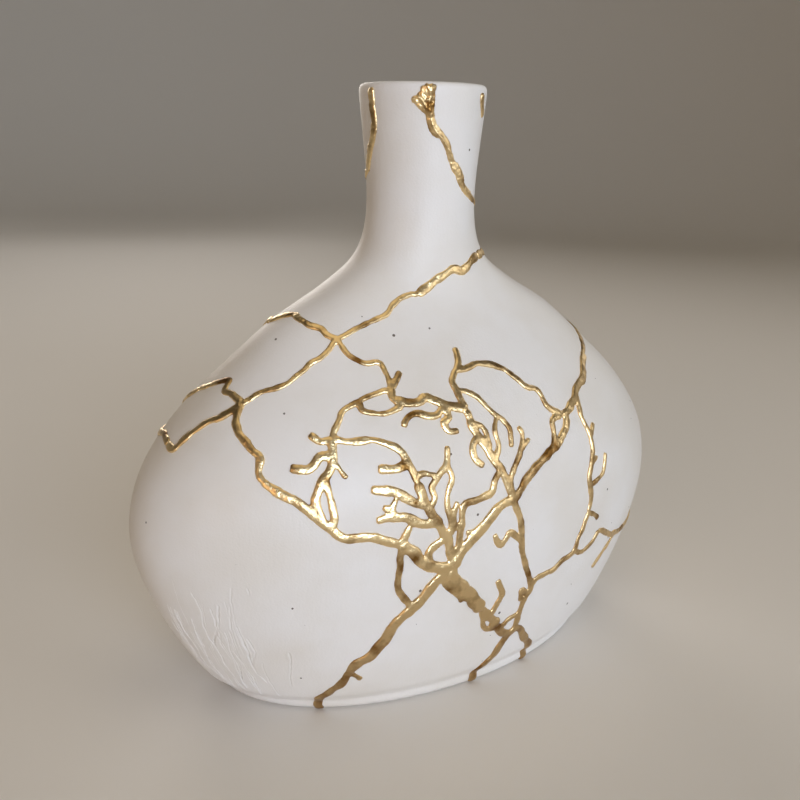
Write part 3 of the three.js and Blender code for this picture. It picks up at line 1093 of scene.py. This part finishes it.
@dataclass
class Studio:
    """The pale sweep, the soft lights and the camera."""

    eye_mm: tuple[float, float, float] = (-190.8, -282.2, 200.4)
    heading: float = 33.0
    pitch: float = 16.25
    roll: float = 1.01
    lens: float = 40.0
    floor_radius: float = 1.6
    sweep_radius: float = 0.9
    sweep_height: float = 2.4
    sweep_steps: int = 12
    glow: str = "E4E0DA"
    glow_strength: float = 0.02
    windows: tuple[Window, ...] = (
        Window("front_window", (0.72, 1.75, 0.4), (1.15, 1.2), 6.85, "DEECFF"),
        Window("right_window", (1.7, 0.5, 0.5), (1.0, 1.0), 1.05, "FFFCF8"),
        Window("back_window", (1.3, -1.2, 0.7), (1.0, 1.0), 0.45, "FFFAF6"),
        Window("rear_window", (-0.6, -1.7, 0.7), (1.0, 1.0), 2.2, "FFFAF6"),
        Window("ceiling", (0.1, 0.2, 1.9), (1.8, 1.8), 7.6, "FFEAC3", 180.0),
        Window("left_glow", (-0.9, 1.6, 0.5), (0.9, 0.9), 0.9, "FFD2A4"),
    )

    def build(self) -> None:
        """Sets up floor, lights, sky and camera."""
        self._floor()
        for window in self.windows:
            self._hang(window)
        self._sky()
        self._camera()
        bpy.context.scene.view_settings.view_transform = "Standard"

    def _floor(self) -> None:
        """Lays a round pale floor that curves up into a wall all round."""
        bpy.ops.object.select_all(action="DESELECT")
        bpy.ops.mesh.primitive_circle_add(vertices=96, radius=self.floor_radius, fill_type="NGON")
        floor = bpy.context.active_object
        floor.name = "pale_floor"
        bpy.ops.object.mode_set(mode="EDIT")
        bpy.ops.mesh.select_all(action="SELECT")
        old_wide, old_high = self.floor_radius, 0.0
        for k in range(1, self.sweep_steps + 2):
            angle = math.radians(90 * min(k, self.sweep_steps) / self.sweep_steps)
            wide = self.floor_radius + self.sweep_radius * math.sin(angle)
            high = self.sweep_radius * (1 - math.cos(angle))
            if k > self.sweep_steps:
                high = self.sweep_height
            rise = (0.0, 0.0, high - old_high)
            bpy.ops.mesh.extrude_region_move(TRANSFORM_OT_translate={"value": rise})
            grow = wide / old_wide
            bpy.ops.transform.resize(value=(grow, grow, 1.0), center_override=(0.0, 0.0, high))
            old_wide, old_high = wide, high
        bpy.ops.mesh.delete(type="ONLY_FACE")
        bpy.ops.object.mode_set(mode="OBJECT")
        bpy.ops.object.shade_smooth()
        floor.data.materials.append(PaleFloor().make())

    def _hang(self, window: Window) -> None:
        """Hangs one area light that faces the vase.

        Args:
            window: its place, size, power and colour.
        """
        lamp = bpy.data.lights.new(window.name, "AREA")
        lamp.shape = "RECTANGLE"
        lamp.size, lamp.size_y = window.size
        lamp.energy = window.watts
        lamp.spread = math.radians(window.spread)
        lamp.color = linear(window.hue)[:3]
        turn = Matrix.Rotation(-math.radians(self.heading), 4, "Z")
        spot = turn @ Vector((window.place[0], -window.place[1], window.place[2]))
        holder = bpy.data.objects.new(window.name, lamp)
        aim = Vector((0.0, 0.0, 0.09)) - spot
        facing = aim.to_track_quat("-Z", "Y").to_matrix().to_4x4()
        holder.matrix_world = Matrix.Translation(spot) @ facing
        holder.visible_camera = False
        bpy.context.scene.collection.objects.link(holder)

    def _sky(self) -> None:
        """Gives the room an even, pale glow."""
        world = bpy.data.worlds.new("soft_room")
        bpy.context.scene.world = world
        world.use_nodes = True
        glow = world.node_tree.nodes["Background"]
        glow.inputs["Color"].default_value = linear(self.glow)
        glow.inputs["Strength"].default_value = self.glow_strength

    def _camera(self) -> None:
        """Sets the camera at the eye's place, level with the lip and tipped down."""
        data = bpy.data.cameras.new("eye")
        data.lens = self.lens
        data.sensor_width = 36.0
        data.clip_start = 0.01
        camera = bpy.data.objects.new("eye", data)
        turned = Matrix.Rotation(-math.radians(self.heading), 4, "Z")
        tipped = Matrix.Rotation(math.radians(90 - self.pitch), 4, "X")
        rolled = Matrix.Rotation(math.radians(self.roll), 4, "Z")
        camera.matrix_world = Matrix.Translation(Vector(self.eye_mm) * MM) @ turned @ tipped @ rolled
        bpy.context.scene.collection.objects.link(camera)
        bpy.context.scene.camera = camera


def main() -> None:
    """Builds the vase, its seams and the studio, and notes the sizes."""
    logging.basicConfig(level=logging.INFO, format="%(message)s")
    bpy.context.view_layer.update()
    Studio().build()
    wall = Wall()
    vase = VaseBody(wall)
    body = vase.build()
    vase.dress(body)
    LOG.info("%s: %d faces", body.name, len(body.data.polygons))
    gold = GoldLacquer().make()
    front = SHOULDER_SEAMS + LEFT_SEAMS + CENTRE_SEAMS + UPPER_RIGHT_SEAMS + RIGHT_SEAMS + LOWER_SEAMS
    networks = (
        GoldSeams("gold_front_seams", "gold_wall_seams", wall, front),
        GoldSeams("gold_back_seams", "gold_wall_seams", wall, BACK_SEAMS, voxel=0.45),
        GoldSeams(
            "gold_neck_band",
            "gold_neck_seams",
            wall,
            NECK_SEAMS,
            voxel=0.27,
            swell=0.14,
            lump=0.42,
            lump_mm=1.0,
        ),
        GoldSeams("gold_neck_mark", "gold_neck_tick", wall, NECK_TICK),
    )
    for network in networks:
        piece = network.build()
        network.dress(piece, gold)
        LOG.info("%s: %d faces", piece.name, len(piece.data.polygons))


if __name__ == "__main__":
    main()
